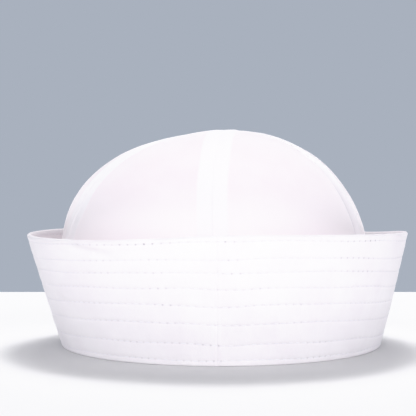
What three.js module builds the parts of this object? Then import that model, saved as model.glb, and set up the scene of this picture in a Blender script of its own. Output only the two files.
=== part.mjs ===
// A white sailor cap that stands on a table: a soft dome sewn from six gores, inside a stiffened brim that
// is turned up all round and quilted with rows of stitches. Lengths are in millimetres, and +Z is up.
// A bearing is an angle round the cap, seen from above: 0 at the front (-Y), 90 at +X, 180 at the back.

import * as THREE from "three";

// Head opening, measured inside the crown's wall
const headCircumference = 580;
const headOval = 1.05; // depth over width

// Cloth, as thicknesses
const crownCloth = 1.2;
const bandCloth = 1.0; // a pair of seam allowances, pressed open inside the crown
const brimCloth = 2.4; // two plies and a stiffener, halfway between two rows of stitches
const clothGap = 0.3; // left between pieces that lie on each other

// Crown
const crownHeight = 126.5;
const crownWallHeight = 50; // upright part, below the dome
const domeFullness = 2.15; // 2 is an ellipse, and more is squarer
const seamDip = 1.4; // how far the crown is drawn in along its seams
const crownSag = 1.6; // how far the slack place in the crown's top sinks
const seamBandWidth = 16;
const seamBandStart = 1.5; // height of the bands' lower ends, inside the hem
const goreTipReach = 1.5; // the gores' points stop this far from the apex, over the long seam band

// Brim
const brimHeight = 65;
const brimSpread = 17.5; // how far the rim stands out beyond the base
const brimBow = 0.3; // how far the brim's face swells out between base and rim
const stitchPinch = 0.4; // how far a row of stitches draws in each face of the brim
const baseRoll = 0.8; // rounding of the brim's lower outer edge

// Bearings of the crown's seams, in degrees. The first and fourth are one long seam that runs over the top.
const fullTurn = 360;
const seamBearings = [0, 67, 121, 180, 239, 298];
const goreNames = ["front_right", "right", "back_right", "back_left", "left", "front_left"];

// How far each seam strays round the crown from its bearing, in degrees. It strays fully at the first of two levels,
// less and less up to the second, and takes the cloth with it over some degrees to each side.
const seamStrays = [0, 0, 0, 0, 0, -4.5];
const strayLevels = [1.08, 1.26];
const strayTurn = 22;

// The crown's slack place: its middle and how far it reaches, as shares of the crown's half-width and half-depth
const slackPlace = { xShare: -0.31, yShare: -0.05, xReachShare: 0.25, yReachShare: 0.6 };

// How the soft crown leans towards +X, as a share of its half-width, at shares of its height
const crownLean = [
  { height: 0.0, lean: 0.0 },
  { height: 0.25, lean: -0.027 },
  { height: 0.5, lean: -0.046 },
  { height: 0.72, lean: -0.053 },
  { height: 0.88, lean: -0.032 },
  { height: 0.95, lean: -0.014 },
  { height: 1.0, lean: 0.017 },
];

// The rim every 30 degrees of bearing, as shares of the brim's height and spread
const rimSections = [
  { bearing: 0, height: 1.018, spread: 1.02 },
  { bearing: 30, height: 1.015, spread: 0.97 },
  { bearing: 60, height: 1.011, spread: 0.93 },
  { bearing: 90, height: 1.012, spread: 0.91 },
  { bearing: 120, height: 0.985, spread: 0.93 },
  { bearing: 150, height: 0.992, spread: 0.98 },
  { bearing: 180, height: 1.008, spread: 1.02 },
  { bearing: 210, height: 1.015, spread: 1.07 },
  { bearing: 240, height: 1.021, spread: 1.12 },
  { bearing: 270, height: 1.003, spread: 1.15 },
  { bearing: 300, height: 0.978, spread: 1.13 },
  { bearing: 330, height: 0.975, spread: 1.08 },
  { bearing: 360, height: 1.018, spread: 1.02 },
];

// The brim's rows of stitches, as shares of its slant height, and how much of the rows' sway each follows
const stitchRows = [
  { up: 0.046, follow: 0.2 },
  { up: 0.181, follow: 1.1 },
  { up: 0.343, follow: 1.3 },
  { up: 0.487, follow: 1.4 },
  { up: 0.617, follow: 1.4 },
  { up: 0.738, follow: 1.25 },
  { up: 0.838, follow: 1.0 },
  { up: 0.967, follow: 0.65 },
];

// How the rows rise and fall together round the brim, as shares of its slant height. 90 is at +X, and -90 at -X.
const rowSway = [
  { bearing: -180, rise: -0.036 },
  { bearing: -130, rise: -0.034 },
  { bearing: -90, rise: -0.03 },
  { bearing: -55, rise: -0.012 },
  { bearing: -33, rise: 0.003 },
  { bearing: -12, rise: 0.0 },
  { bearing: 1, rise: -0.017 },
  { bearing: 12, rise: -0.008 },
  { bearing: 24, rise: -0.009 },
  { bearing: 45, rise: -0.023 },
  { bearing: 66, rise: -0.047 },
  { bearing: 90, rise: -0.056 },
  { bearing: 130, rise: -0.044 },
  { bearing: 180, rise: -0.036 },
];

// Fineness of the faceted solids
const goreColumns = 8;
const bandColumns = 2;
const wallRows = 2;
const domeRows = 10;
const brimColumns = 64;
const foldSteps = 4;

// Half-width of an oval from its circumference, by Ramanujan's formula
const openingHalfWidth =
  headCircumference / (Math.PI * (3 * (1 + headOval) - Math.sqrt((3 + headOval) * (1 + 3 * headOval))));
const crownHalfWidth = openingHalfWidth + crownCloth;
const crownHalfDepth = openingHalfWidth * headOval + crownCloth;
const baseHalfWidth = crownHalfWidth + clothGap + brimCloth;
const baseHalfDepth = crownHalfDepth + clothGap + brimCloth;

// The gores, each from one seam to the next, in degrees
const gores = goreNames.map((name, k) => {
  return { name, start: seamBearings[k], end: seamBearings[k + 1] ?? fullTurn };
});

// A flat facet of the crown lies inside its curve, so a band under the gores needs that much more room.
const radians = THREE.MathUtils.degToRad;
const facetTurn = Math.max(...gores.map(({ start, end }) => (end - start) / goreColumns), 90 / domeRows);
const facetSag = crownHalfDepth * (1 - Math.cos(radians(facetTurn / 2)));
const bandGap = clothGap + facetSag;
const bandDepth = crownCloth + bandGap; // of a band's outer face, under the crown's surface

// Reads one column of a table at a place between its rows, on a smooth curve through them.
function readTable(table, key, column, at) {
  const next = Math.max(1, Math.min(table.length - 1, table.findIndex((row) => row[key] >= at)));
  const [before, after] = [table[next - 1], table[next]];
  const slope = (low, high) => (high[column] - low[column]) / (high[key] - low[key]);
  const span = after[key] - before[key];
  const slopeIn = slope(table[Math.max(0, next - 2)], after) * span;
  const slopeOut = slope(before, table[Math.min(table.length - 1, next + 1)]) * span;
  const t = (at - before[key]) / span;
  const hermite = (1 + 2 * t) * (1 - t) ** 2 * before[column] + t ** 2 * (3 - 2 * t) * after[column];
  return hermite + t * (1 - t) ** 2 * slopeIn - t ** 2 * (1 - t) * slopeOut;
}

// A level runs from 0 at the base to 1 at the top of the upright wall and 2 at the apex.
// Share of the crown's full plan that is left at a level
function reachOfLevel(level) {
  return level > 1 ? Math.max(0, Math.cos(((level - 1) * Math.PI) / 2)) ** (2 / domeFullness) : 1;
}

// The level at which the dome has shrunk to a share of its plan
function levelOfReach(reach) {
  return 1 + (Math.acos(reach ** (domeFullness / 2)) * 2) / Math.PI;
}

// The levels of a piece's rows, from a first height in the wall to a last level in the dome
function rowLevels(firstHeight, lastLevel) {
  const first = firstHeight / crownWallHeight;
  const wall = Array.from({ length: wallRows }, (_, row) => THREE.MathUtils.lerp(first, 1, row / wallRows));
  const dome = Array.from({ length: domeRows + 1 }, (_, row) => 1 + ((lastLevel - 1) * row) / domeRows);
  return [...wall, ...dome];
}

// How far the crown is drawn in by its seams, at a bearing in radians
function dipAt(bearing, level, reach) {
  const degrees = (THREE.MathUtils.radToDeg(bearing) + fullTurn) % fullTurn;
  const { start, end } = gores.findLast((gore) => gore.start <= degrees);
  const valley = 1 - Math.sin((Math.PI * (degrees - start)) / (end - start));
  return seamDip * valley * Math.min(1, level) * reach * (2 - reach);
}

// How far the crown's cloth strays round it at a point of the plan, in radians
function strayAt(plan, level) {
  const degrees = THREE.MathUtils.radToDeg(Math.atan2(plan.x, -plan.y));
  const turn = seamStrays.reduce((sum, stray, k) => {
    const apart = ((degrees - seamBearings[k] + 1.5 * fullTurn) % fullTurn) - fullTurn / 2;
    return sum + stray * Math.exp(-((apart / strayTurn) ** 2));
  }, 0);
  return radians(turn) * (1 - THREE.MathUtils.smoothstep(level, ...strayLevels));
}

// How far the crown sinks in its slack place, at a point of the plan
function sagAt(plan, level) {
  const across = (plan.x - slackPlace.xShare) / slackPlace.xReachShare;
  const along = (plan.y - slackPlace.yShare) / slackPlace.yReachShare;
  return crownSag * Math.exp(-(across ** 2) - along ** 2) * THREE.MathUtils.clamp(level - 1, 0, 1);
}

// A point of the crown on a bearing's meridian, moved sideways by a distance across, at a depth in the wall
function crownPoint(bearing, level, across, depth) {
  const forward = new THREE.Vector2(Math.sin(bearing), -Math.cos(bearing));
  const sideways = new THREE.Vector2(Math.cos(bearing), Math.sin(bearing));
  const offset = across / Math.hypot(crownHalfWidth * sideways.x, crownHalfDepth * sideways.y);
  const meridian = reachOfLevel(level) * Math.sqrt(1 - offset ** 2);
  const plan = forward.multiplyScalar(meridian).addScaledVector(sideways, offset);
  const reach = Math.min(1, plan.length());
  const inwards = depth + dipAt(Math.atan2(plan.x, -plan.y), level, reach) + sagAt(plan, level);
  plan.rotateAround(new THREE.Vector2(), strayAt(plan, level));
  const rise = level > 1 ? (1 - reach ** domeFullness) ** (1 / domeFullness) : 0;
  const domeHeight = crownHeight - crownWallHeight;
  const height = level > 1 ? crownWallHeight + domeHeight * rise : crownWallHeight * level;
  const flatness = reach > 0 ? reach ** (domeFullness - 2) : 0;
  const normal = new THREE.Vector3(
    (flatness * plan.x) / crownHalfWidth,
    (flatness * plan.y) / crownHalfDepth,
    rise ** (domeFullness - 1) / domeHeight,
  ).normalize();
  const lean = crownHalfWidth * readTable(crownLean, "height", "lean", height / crownHeight);
  const point = new THREE.Vector3(crownHalfWidth * plan.x + lean, crownHalfDepth * plan.y, height);
  return point.addScaledVector(normal, -inwards);
}

// A closed solid between two grids of points, each a list of rows, with the first grid on the outside.
function slab(outer, inner) {
  const rows = outer.length;
  const columns = outer[0].length;
  const points = [...outer.flat(), ...inner.flat()];
  const at = (side, row, column) => side * rows * columns + row * columns + column;
  const triangles = [];
  const quad = (a, b, c, d) => triangles.push(a, b, c, a, c, d);
  for (let r = 0; r < rows - 1; r++) {
    for (let c = 0; c < columns - 1; c++) {
      quad(at(0, r, c), at(0, r, c + 1), at(0, r + 1, c + 1), at(0, r + 1, c));
      quad(at(1, r, c), at(1, r + 1, c), at(1, r + 1, c + 1), at(1, r, c + 1));
    }
    quad(at(0, r, 0), at(0, r + 1, 0), at(1, r + 1, 0), at(1, r, 0));
    const last = columns - 1;
    quad(at(0, r, last), at(1, r, last), at(1, r + 1, last), at(0, r + 1, last));
  }
  for (let c = 0; c < columns - 1; c++) {
    const last = rows - 1;
    quad(at(0, 0, c), at(1, 0, c), at(1, 0, c + 1), at(0, 0, c + 1));
    quad(at(0, last, c), at(0, last, c + 1), at(1, last, c + 1), at(1, last, c));
  }
  return indexedGeometry(points, triangles);
}

// A closed ring: each section is a closed loop of points, and the last section joins the first.
function ring(sections) {
  const count = sections.length;
  const size = sections[0].length;
  const triangles = [];
  for (let s = 0; s < count; s++) {
    for (let p = 0; p < size; p++) {
      const [here, next] = [s * size, ((s + 1) % count) * size];
      const up = (p + 1) % size;
      triangles.push(here + p, next + p, next + up, here + p, next + up, here + up);
    }
  }
  return indexedGeometry(sections.flat(), triangles);
}

function indexedGeometry(points, triangles) {
  const geometry = new THREE.BufferGeometry().setFromPoints(points);
  geometry.setIndex(triangles);
  geometry.computeVertexNormals();
  return geometry;
}

// One gore of the crown, between two seams given in degrees
function goreGeometry({ start, end }) {
  const columns = Array.from({ length: goreColumns + 1 }, (_, column) => column / goreColumns);
  const levels = rowLevels(0, levelOfReach(goreTipReach / crownHalfWidth));
  const face = (depth) =>
    levels.map((level) => {
      const inset = clothGap / 2 / (crownHalfWidth * reachOfLevel(level));
      const [from, to] = [radians(start) + inset, radians(end) - inset];
      return columns.map((share) => crownPoint(THREE.MathUtils.lerp(from, to, share), level, 0, depth));
    });
  return slab(face(0), face(crownCloth));
}

// Distances across a seam band, from its left edge to its right edge
const bandAcross = Array.from({ length: bandColumns + 1 }, (_, column) => {
  return seamBandWidth * (column / bandColumns - 0.5);
});

// The long seam's band: up the front, over the apex and down the back
function longBandGeometry() {
  const climb = rowLevels(seamBandStart, 2);
  const descent = climb.slice(0, -1).reverse();
  const face = (depth) => [
    ...climb.map((level) => bandAcross.map((across) => crownPoint(0, level, across, depth))),
    ...descent.map((level) => bandAcross.map((across) => crownPoint(Math.PI, level, -across, depth))),
  ];
  return slab(face(bandDepth), face(bandDepth + bandCloth));
}

// A side seam's band. Near the apex it is trimmed clear of the long band and of the next side seam's band.
function sideBandGeometry(seam, nextSeam) {
  const bearing = radians(seam);
  const halfTurn = radians(Math.abs(nextSeam - seam) / 2);
  const trimmedLevel = (across) => {
    const outwards = across * Math.cos(bearing) * Math.sign(Math.sin(bearing));
    const besideLong = (seamBandWidth / 2 + bandGap - outwards) / Math.abs(Math.sin(bearing));
    const besideNext = (across * Math.sign(nextSeam - seam) + bandGap) / Math.tan(halfTurn);
    return levelOfReach(Math.max(besideLong, besideNext) / crownHalfWidth);
  };
  const climbs = bandAcross.map((across) => rowLevels(seamBandStart, trimmedLevel(across)));
  const face = (depth) =>
    climbs[0].map((_, row) => {
      return climbs.map((levels, column) => crownPoint(bearing, levels[row], bandAcross[column], depth));
    });
  return slab(face(bandDepth), face(bandDepth + bandCloth));
}

// A point of the brim at a share of its slant height, at a depth under its outer face
function brimPoint(bearing, share, depth) {
  const degrees = THREE.MathUtils.radToDeg(bearing);
  const spread = brimSpread * readTable(rimSections, "bearing", "spread", degrees);
  const height = brimHeight * readTable(rimSections, "bearing", "height", degrees);
  const slant = Math.atan2(spread, height);
  const outwards = new THREE.Vector3(
    Math.sin(bearing) / baseHalfWidth,
    -Math.cos(bearing) / baseHalfDepth,
    0,
  ).normalize();
  const normal = outwards.clone().multiplyScalar(Math.cos(slant)).setZ(-Math.sin(slant));
  const base = new THREE.Vector3(baseHalfWidth * Math.sin(bearing), -baseHalfDepth * Math.cos(bearing), 0);
  return base
    .setZ(height * share)
    .addScaledVector(outwards, spread * share)
    .addScaledVector(normal, brimBow * Math.sin(Math.PI * share) - depth);
}

// A point of the brim's flat underside, at a depth in from its outer face
function brimFoot(bearing, depth) {
  const point = brimPoint(bearing, 0, 0);
  const outwards = new THREE.Vector3(point.x / baseHalfWidth ** 2, point.y / baseHalfDepth ** 2, 0);
  return point.addScaledVector(outwards.normalize(), -depth);
}

// The brim's cross-section as a closed loop: up the outer face, over the fold and down the inner face
function brimSection(bearing) {
  const degrees = THREE.MathUtils.radToDeg(bearing);
  const turn = degrees > fullTurn / 2 ? degrees - fullTurn : degrees;
  const sway = readTable(rowSway, "bearing", "rise", turn);
  const rows = stitchRows.map(({ up, follow }) => up + follow * sway);
  const face = rows.flatMap((row, k) => {
    const swell = k + 1 < rows.length ? [{ share: (row + rows[k + 1]) / 2, pinch: 0 }] : [];
    return [{ share: row, pinch: stitchPinch }, ...swell];
  });
  const foldShare = brimCloth / 2 / brimHeight;
  const fold = Array.from({ length: foldSteps + 1 }, (_, step) => {
    const turn = (Math.PI * step) / foldSteps;
    return brimPoint(bearing, 1 - foldShare * (1 - Math.sin(turn)), (brimCloth / 2) * (1 - Math.cos(turn)));
  });
  return [
    brimFoot(bearing, brimCloth),
    brimFoot(bearing, baseRoll),
    brimPoint(bearing, baseRoll / brimHeight, 0),
    ...face.map(({ share, pinch }) => brimPoint(bearing, share, pinch)),
    ...fold,
    ...face.toReversed().map(({ share, pinch }) => brimPoint(bearing, share, brimCloth - pinch)),
  ];
}

function brimGeometry() {
  const bearings = Array.from({ length: brimColumns }, (_, column) => (2 * Math.PI * column) / brimColumns);
  return ring(bearings.map(brimSection));
}

// Cloths, each with its own colour and surface
const crownMaterial = new THREE.MeshStandardMaterial({ color: 0xf9f3f7, roughness: 0.9, metalness: 0 });
const bandMaterial = new THREE.MeshStandardMaterial({ color: 0xfdfbfc, roughness: 0.9, metalness: 0 });
const brimMaterial = new THREE.MeshStandardMaterial({ color: 0xf8f6fa, roughness: 0.88, metalness: 0 });

function namedMesh(name, geometry, material) {
  const mesh = new THREE.Mesh(geometry, material);
  mesh.name = name;
  return mesh;
}

const crown = new THREE.Group();
for (const gore of gores) {
  crown.add(namedMesh(`crown_gore_${gore.name}`, goreGeometry(gore), crownMaterial));
}
crown.add(namedMesh("crown_seam_band_long", longBandGeometry(), bandMaterial));
const [, frontRight, backRight, , backLeft, frontLeft] = seamBearings;
crown.add(namedMesh("crown_seam_band_front_right", sideBandGeometry(frontRight, backRight), bandMaterial));
crown.add(namedMesh("crown_seam_band_back_right", sideBandGeometry(backRight, frontRight), bandMaterial));
crown.add(namedMesh("crown_seam_band_back_left", sideBandGeometry(backLeft, frontLeft), bandMaterial));
crown.add(namedMesh("crown_seam_band_front_left", sideBandGeometry(frontLeft, backLeft), bandMaterial));

const cap = new THREE.Group();
cap.add(crown, namedMesh("brim", brimGeometry(), brimMaterial));

// The origin is on the table, under the middle of the cap's outline seen from above.
const middle = new THREE.Box3().setFromObject(cap).getCenter(new THREE.Vector3());
cap.position.set(-middle.x, -middle.y, 0);

export default cap;
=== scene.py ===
# A white cotton sailor cap that stands on a pale floor: six sewn gores, five pressed seam bands and a quilted
# brim. Lengths are in metres, +Z is up and the front faces -Y. A bearing is an angle round the cap, seen from
# above: 0 at the front, 90 degrees at +X. A level runs up the crown: 0 at the base, 1 at the wall's top and 2
# at the apex.
import math

import bpy
import numpy as np
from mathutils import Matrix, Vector, noise


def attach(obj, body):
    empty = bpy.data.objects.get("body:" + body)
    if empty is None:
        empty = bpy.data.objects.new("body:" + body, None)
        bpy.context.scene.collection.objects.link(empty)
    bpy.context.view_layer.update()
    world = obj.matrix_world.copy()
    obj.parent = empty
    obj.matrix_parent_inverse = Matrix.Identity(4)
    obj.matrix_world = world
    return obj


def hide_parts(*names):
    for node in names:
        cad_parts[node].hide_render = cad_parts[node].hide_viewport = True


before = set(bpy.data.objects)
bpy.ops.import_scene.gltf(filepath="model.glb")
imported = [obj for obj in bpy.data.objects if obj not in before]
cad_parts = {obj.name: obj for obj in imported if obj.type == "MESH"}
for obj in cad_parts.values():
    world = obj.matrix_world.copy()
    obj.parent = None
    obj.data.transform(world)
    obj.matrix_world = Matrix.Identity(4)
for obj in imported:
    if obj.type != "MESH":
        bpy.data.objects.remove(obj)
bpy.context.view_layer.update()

# The part's driving sizes
HEAD_CIRCUMFERENCE = 0.580
HEAD_OVAL = 1.05
CROWN_CLOTH = 0.0012
BAND_CLOTH = 0.0010
BRIM_CLOTH = 0.0024
CLOTH_GAP = 0.0003
CROWN_HEIGHT = 0.1265
CROWN_WALL_HEIGHT = 0.050
DOME_FULLNESS = 2.15
SEAM_DIP = 0.0014
SEAM_BAND_WIDTH = 0.016
SEAM_BAND_START = 0.0015
BRIM_HEIGHT = 0.065
BRIM_SPREAD = 0.0175
BRIM_BOW = 0.0003
STITCH_PINCH = 0.00015
BASE_ROLL = 0.0008
FULL_TURN = 360
SEAM_BEARINGS = [0, 67, 121, 180, 239, 298]
# Each seam's groove, the wider valley round it, how dark and wide its line is (the seam itself and painted
# shade of its valley), how much its allowances show, how much wider they are at the front, and how far the
# seam strays near the brim, in degrees
SEAM_LOOKS = [
    {"groove": 0.0001, "valley": 0.0, "line": 0.03, "line_width": 0.0005,
     "show": 1.0, "wider": 0.0, "stray": 0.0},
    {"groove": 0.0003, "valley": 0.0019, "line": 0.34, "line_width": 0.0022,
     "show": 1.0, "wider": -0.0085, "stray": 0.0},
    {"groove": 0.0003, "valley": 0.0003, "line": 0.1, "line_width": 0.0005,
     "show": 0.9, "wider": 0.0, "stray": 0.0},
    {"groove": 0.0002, "valley": 0.0, "line": 0.06, "line_width": 0.0005,
     "show": 0.9, "wider": 0.0, "stray": 0.0},
    {"groove": 0.0003, "valley": 0.0002, "line": 0.1, "line_width": 0.0005,
     "show": 0.9, "wider": 0.0, "stray": 0.0},
    {"groove": 0.0003, "valley": 0.0, "line": 0.05, "line_width": 0.0005,
     "show": 1.0, "wider": 0.002, "stray": -4.5},
]
STRAY_WIDTH = math.radians(22)
STRAY_FADE = (1.26, 1.08)  # levels between which a seam begins to stray
GROOVE_WIDTH = 0.0006
GROOVE_FADE = (0.85, 1.0)  # shares of the crown's height between which the grooves end
LINE_FADE = (0.84, 0.66)  # shares of the crown's height between which a seam's dark line, seam and painted shade, begins
SHOW_FADE = (0.75, 0.95)  # shares of the crown's height above which all allowances show in full
VALLEY_WIDTH = 0.0038
VALLEY_START = (0.2, 0.5)  # shares of the way out from the apex between which a valley begins
VALLEY_FADE = (0.95, 0.75)  # shares of the crown's height between which it begins
GORE_NAMES = ["front_right", "right", "back_right", "back_left", "left", "front_left"]
# How far to the side the crown leans at a share of its height, as shares of its half-width
CROWN_LEAN = [
    {"height": 0.0, "lean": 0.0},
    {"height": 0.25, "lean": -0.027},
    {"height": 0.5, "lean": -0.046},
    {"height": 0.72, "lean": -0.053},
    {"height": 0.88, "lean": -0.032},
    {"height": 0.95, "lean": -0.014},
    {"height": 1.0, "lean": 0.017},
]
# The rim's height and spread at a bearing in degrees, as shares of the brim's
RIM_SECTIONS = [
    {"bearing": 0, "height": 1.018, "spread": 1.02},
    {"bearing": 30, "height": 1.015, "spread": 0.97},
    {"bearing": 60, "height": 1.011, "spread": 0.93},
    {"bearing": 90, "height": 1.012, "spread": 0.91},
    {"bearing": 120, "height": 0.985, "spread": 0.93},
    {"bearing": 150, "height": 0.992, "spread": 0.98},
    {"bearing": 180, "height": 1.008, "spread": 1.02},
    {"bearing": 210, "height": 1.015, "spread": 1.07},
    {"bearing": 240, "height": 1.021, "spread": 1.12},
    {"bearing": 270, "height": 1.003, "spread": 1.15},
    {"bearing": 300, "height": 0.978, "spread": 1.13},
    {"bearing": 330, "height": 0.975, "spread": 1.08},
    {"bearing": 360, "height": 1.018, "spread": 1.02},
]
# The brim's rows of stitches, as shares of its slant height, and how much of the rows' sway each follows
STITCH_ROWS = [
    {"up": 0.046, "follow": 0.2},
    {"up": 0.181, "follow": 1.1},
    {"up": 0.343, "follow": 1.3},
    {"up": 0.487, "follow": 1.4},
    {"up": 0.617, "follow": 1.4},
    {"up": 0.738, "follow": 1.25},
    {"up": 0.838, "follow": 1.0},
    {"up": 0.967, "follow": 0.65},
]
# How the rows rise and fall together round the brim, as shares of its slant height
ROW_SWAY = [
    {"bearing": -180, "rise": -0.036},
    {"bearing": -130, "rise": -0.034},
    {"bearing": -90, "rise": -0.03},
    {"bearing": -55, "rise": -0.012},
    {"bearing": -33, "rise": 0.003},
    {"bearing": -12, "rise": 0.0},
    {"bearing": 1, "rise": -0.017},
    {"bearing": 12, "rise": -0.008},
    {"bearing": 24, "rise": -0.009},
    {"bearing": 45, "rise": -0.023},
    {"bearing": 66, "rise": -0.047},
    {"bearing": 90, "rise": -0.056},
    {"bearing": 130, "rise": -0.044},
    {"bearing": 180, "rise": -0.036},
]

# Sewing details
ROW_WANDER = 0.0003  # how far a hand-guided row strays
WANDER_WAVES = [(7, 1.9), (12, 4.1)]  # its waves round the brim, and each row's shift in them
STITCH_PITCH = 0.0042
STITCH_LENGTH = 0.74 * STITCH_PITCH
ROW_SHIFT = 0.37  # how far each row's stitches are shifted against the next row's, in pitches
THREAD_RADIUS = 0.00021
CREASE_DEPTH = 0.00011  # the narrow crease that the thread pulls into the cloth
CREASE_WIDTH = 0.0004
PAD_ROUNDNESS = 0.6  # the cloth swells between two rows
PUCKER_DEPTH = 0.00013
PUCKER_SIZE = (0.0042, 0.0042, 0.012)
FINE_PUCKER_SIZE = (0.0024, 0.0024, 0.007)
FINE_PUCKER_SHARE = 0.6
PUCKER_REACH = 0.0022  # how far from its row a pucker fades
PUCKER_BETWEEN = 0.25  # share of the puckers that is left between the rows
BRIM_WAVE = 0.0004
BRIM_WAVE_SIZE = (0.055, 0.055, 0.04)
BRIM_WAVE_RISE = 3  # the waves fade below one part in this many of the slant height
JOIN_BEARING = math.radians(-1.28)  # the brim's own end-to-end join
JOIN_GROOVE = 0.0003
JOIN_WIDTH = 0.0005
INSIDE_SHADE_START = (0.002, 0.006)  # how far past the rim the brim's inside, with its painted shade, begins
BAND_RELIEF = 0.00035  # how far the pressed seam allowances lift the crown's cloth
BAND_EDGE = 0.0014  # softness of their edge
SEAM_PUCKER = 0.00016
SEAM_PUCKER_SIZE = 0.006
SEAM_PUCKER_REACH = 0.009
CROWN_WAVE = 0.0003
CROWN_WAVE_SIZE = 0.045
SMALL_WAVE_SIZE = 0.016
SMALL_WAVE_SHARE = 0.35
CALM_HEIGHT = 0.01  # the crown is smooth at its lower edge
CROWN_SAG = 0.0016  # a slack place in the crown's top
SAG_PLACE = (-0.31, -0.05)  # in shares of the crown's half-width and half-depth
SAG_WIDTH = (0.25, 0.6)
GORE_GAP = 0.00003
GORE_TIP_REACH = 0.0003
BAND_GAP = 0.0006
BAND_CLEARANCE = 0.0002  # the least gap between the gores' inner faces and the bands
BAND_THIN_EDGE = 0.3  # share of a band's thickness that is left at its edges
BAND_FLATNESS = 6  # a higher power keeps more of a band's width flat
BAND_GROOVE = 0.45  # share of its thickness that the seam's groove takes
BAND_GROOVE_WIDTH = 0.0007
BAND_RIPPLE = 0.12  # share of a band's thickness
BAND_RIPPLE_SIZE = 0.005

# Fineness
GORE_COLUMNS = 72
WALL_ROWS = 26
DOME_ROWS = 84
BAND_COLUMNS = 12
BRIM_COLUMNS = 560
OUTER_STEPS = 8
INNER_STEPS = 5
FOLD_STEPS = 8
UNDERSIDE_STEPS = 3
ROLL_TURNS = (0.35, 0.75, 1.15)  # radians round the base's rolled edge
SEAM_CROWDING = 0.75  # how much finer a gore's columns are beside its seams
JOIN_COLUMNS = 11
JOIN_REACH = 0.0015  # the finer columns reach this far beside the brim's join
JOIN_CLEAR = 0.0018  # and the others keep this far from it
THREAD_SIDES = 6
SHARP_ANGLE = math.radians(50)
FAR = 1.0  # farther than any two points of the cap
TINY = 1e-6
NOISE_SHIFT = 17.3  # between the noises of two seeds

# Sizes that follow, the first from the length of an ellipse
opening_half = HEAD_CIRCUMFERENCE / (
    math.pi * (3 * (1 + HEAD_OVAL) - math.sqrt((3 + HEAD_OVAL) * (1 + 3 * HEAD_OVAL)))
)
CROWN_HALF = np.array([opening_half + CROWN_CLOTH, opening_half * HEAD_OVAL + CROWN_CLOTH])
BASE_HALF = CROWN_HALF + CLOTH_GAP + BRIM_CLOTH
DOME_HEIGHT = CROWN_HEIGHT - CROWN_WALL_HEIGHT
BAND_DEPTH = CROWN_CLOTH + BAND_GAP


def read_table(table, key, column, at):
    """One column of a table at places between its rows, on a smooth curve through them."""
    keys = np.array([row[key] for row in table], float)
    values = np.array([row[column] for row in table], float)
    slopes = np.empty(len(values))
    slopes[1:-1] = (values[2:] - values[:-2]) / (keys[2:] - keys[:-2])
    slopes[0] = (values[1] - values[0]) / (keys[1] - keys[0])
    slopes[-1] = (values[-1] - values[-2]) / (keys[-1] - keys[-2])
    after = np.clip(np.searchsorted(keys, at), 1, len(keys) - 1)
    before = after - 1
    span = keys[after] - keys[before]
    t = (at - keys[before]) / span
    curve = (1 + 2 * t) * (1 - t) ** 2 * values[before] + t**2 * (3 - 2 * t) * values[after]
    return curve + span * (t * (1 - t) ** 2 * slopes[before] - t**2 * (1 - t) * slopes[after])


def smooth_step(low, high, value):
    t = np.clip((value - low) / (high - low), 0, 1)
    return t * t * (3 - 2 * t)


def signed_turn(angle):
    """An angle in radians, brought to between half a turn back and half a turn on."""
    return (angle + math.pi) % (2 * math.pi) - math.pi


def cloth_noise(points, size, seed):
    """Perlin noise from -1 to 1 at points, with features of one size or of three along X, Y and Z."""
    places = points.reshape(-1, 3) / np.array(size) + NOISE_SHIFT * seed
    values = [noise.noise(Vector(place)) for place in places]
    return np.array(values).reshape(points.shape[:-1])


# The crown

def reach_of_level(level):
    """Share of the crown's full plan that is left at a level."""
    dome = np.clip(np.cos((level - 1) * math.pi / 2), 0, 1) ** (2 / DOME_FULLNESS)
    return np.where(level > 1, dome, 1.0)


def level_of_reach(reach):
    return 1 + np.arccos(reach ** (DOME_FULLNESS / 2)) * 2 / math.pi


def row_levels(first_height, last_level):
    wall = np.linspace(first_height / CROWN_WALL_HEIGHT, 1, WALL_ROWS, endpoint=False)
    return np.concatenate([wall, np.linspace(1, last_level, DOME_ROWS + 1)])


def gore_place(x, y):
    """How far round its gore a point of the plan is, from 0 to 1."""
    degrees = np.degrees(np.arctan2(x, -y)) % FULL_TURN
    edges = np.array(SEAM_BEARINGS + [FULL_TURN])
    gore = np.clip(np.searchsorted(edges, degrees, side="right") - 1, 0, len(SEAM_BEARINGS) - 1)
    return (degrees - edges[gore]) / (edges[gore + 1] - edges[gore])


def seam_look(x, y):
    """A plan point's distances to its nearest seam and to the allowances' edge, and that seam's look."""
    shape = np.shape(x)
    nearest, edge = np.full(shape, FAR), np.full(shape, FAR)
    look = {key: np.zeros(shape) for key in ("groove", "line", "line_width", "show")}
    for degrees, seam in zip(SEAM_BEARINGS, SEAM_LOOKS):
        sine, cosine = math.sin(math.radians(degrees)), math.cos(math.radians(degrees))
        along = x * sine - y * cosine
        side = (x * cosine + y * sine) * math.hypot(CROWN_HALF[0] * cosine, CROWN_HALF[1] * sine)
        behind = np.where(along < 0, np.hypot(x * CROWN_HALF[0], y * CROWN_HALF[1]), 0)
        away = np.maximum(np.abs(side), behind)
        closer = away < nearest
        nearest = np.where(closer, away, nearest)
        frontwards = side * math.copysign(1, -sine) > 0
        edge = np.minimum(edge, away - SEAM_BAND_WIDTH / 2 - np.where(frontwards, seam["wider"], 0))
        for key in look:
            look[key] = np.where(closer, seam[key], look[key])
    return nearest, edge, look


def valley_depth(x, y, height):
    """How far the crown's cloth sinks in a wide valley beside some of its seams."""
    depth = np.zeros(np.shape(x))
    for degrees, seam in zip(SEAM_BEARINGS, SEAM_LOOKS):
        sine, cosine = math.sin(math.radians(degrees)), math.cos(math.radians(degrees))
        along = x * sine - y * cosine
        side = (x * cosine + y * sine) * CROWN_HALF[0]
        near = np.exp(-((side / VALLEY_WIDTH) ** 2)) * smooth_step(*VALLEY_START, along)
        depth = depth + seam["valley"] * near
    return depth * smooth_step(*VALLEY_FADE, height / CROWN_HEIGHT)


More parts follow.
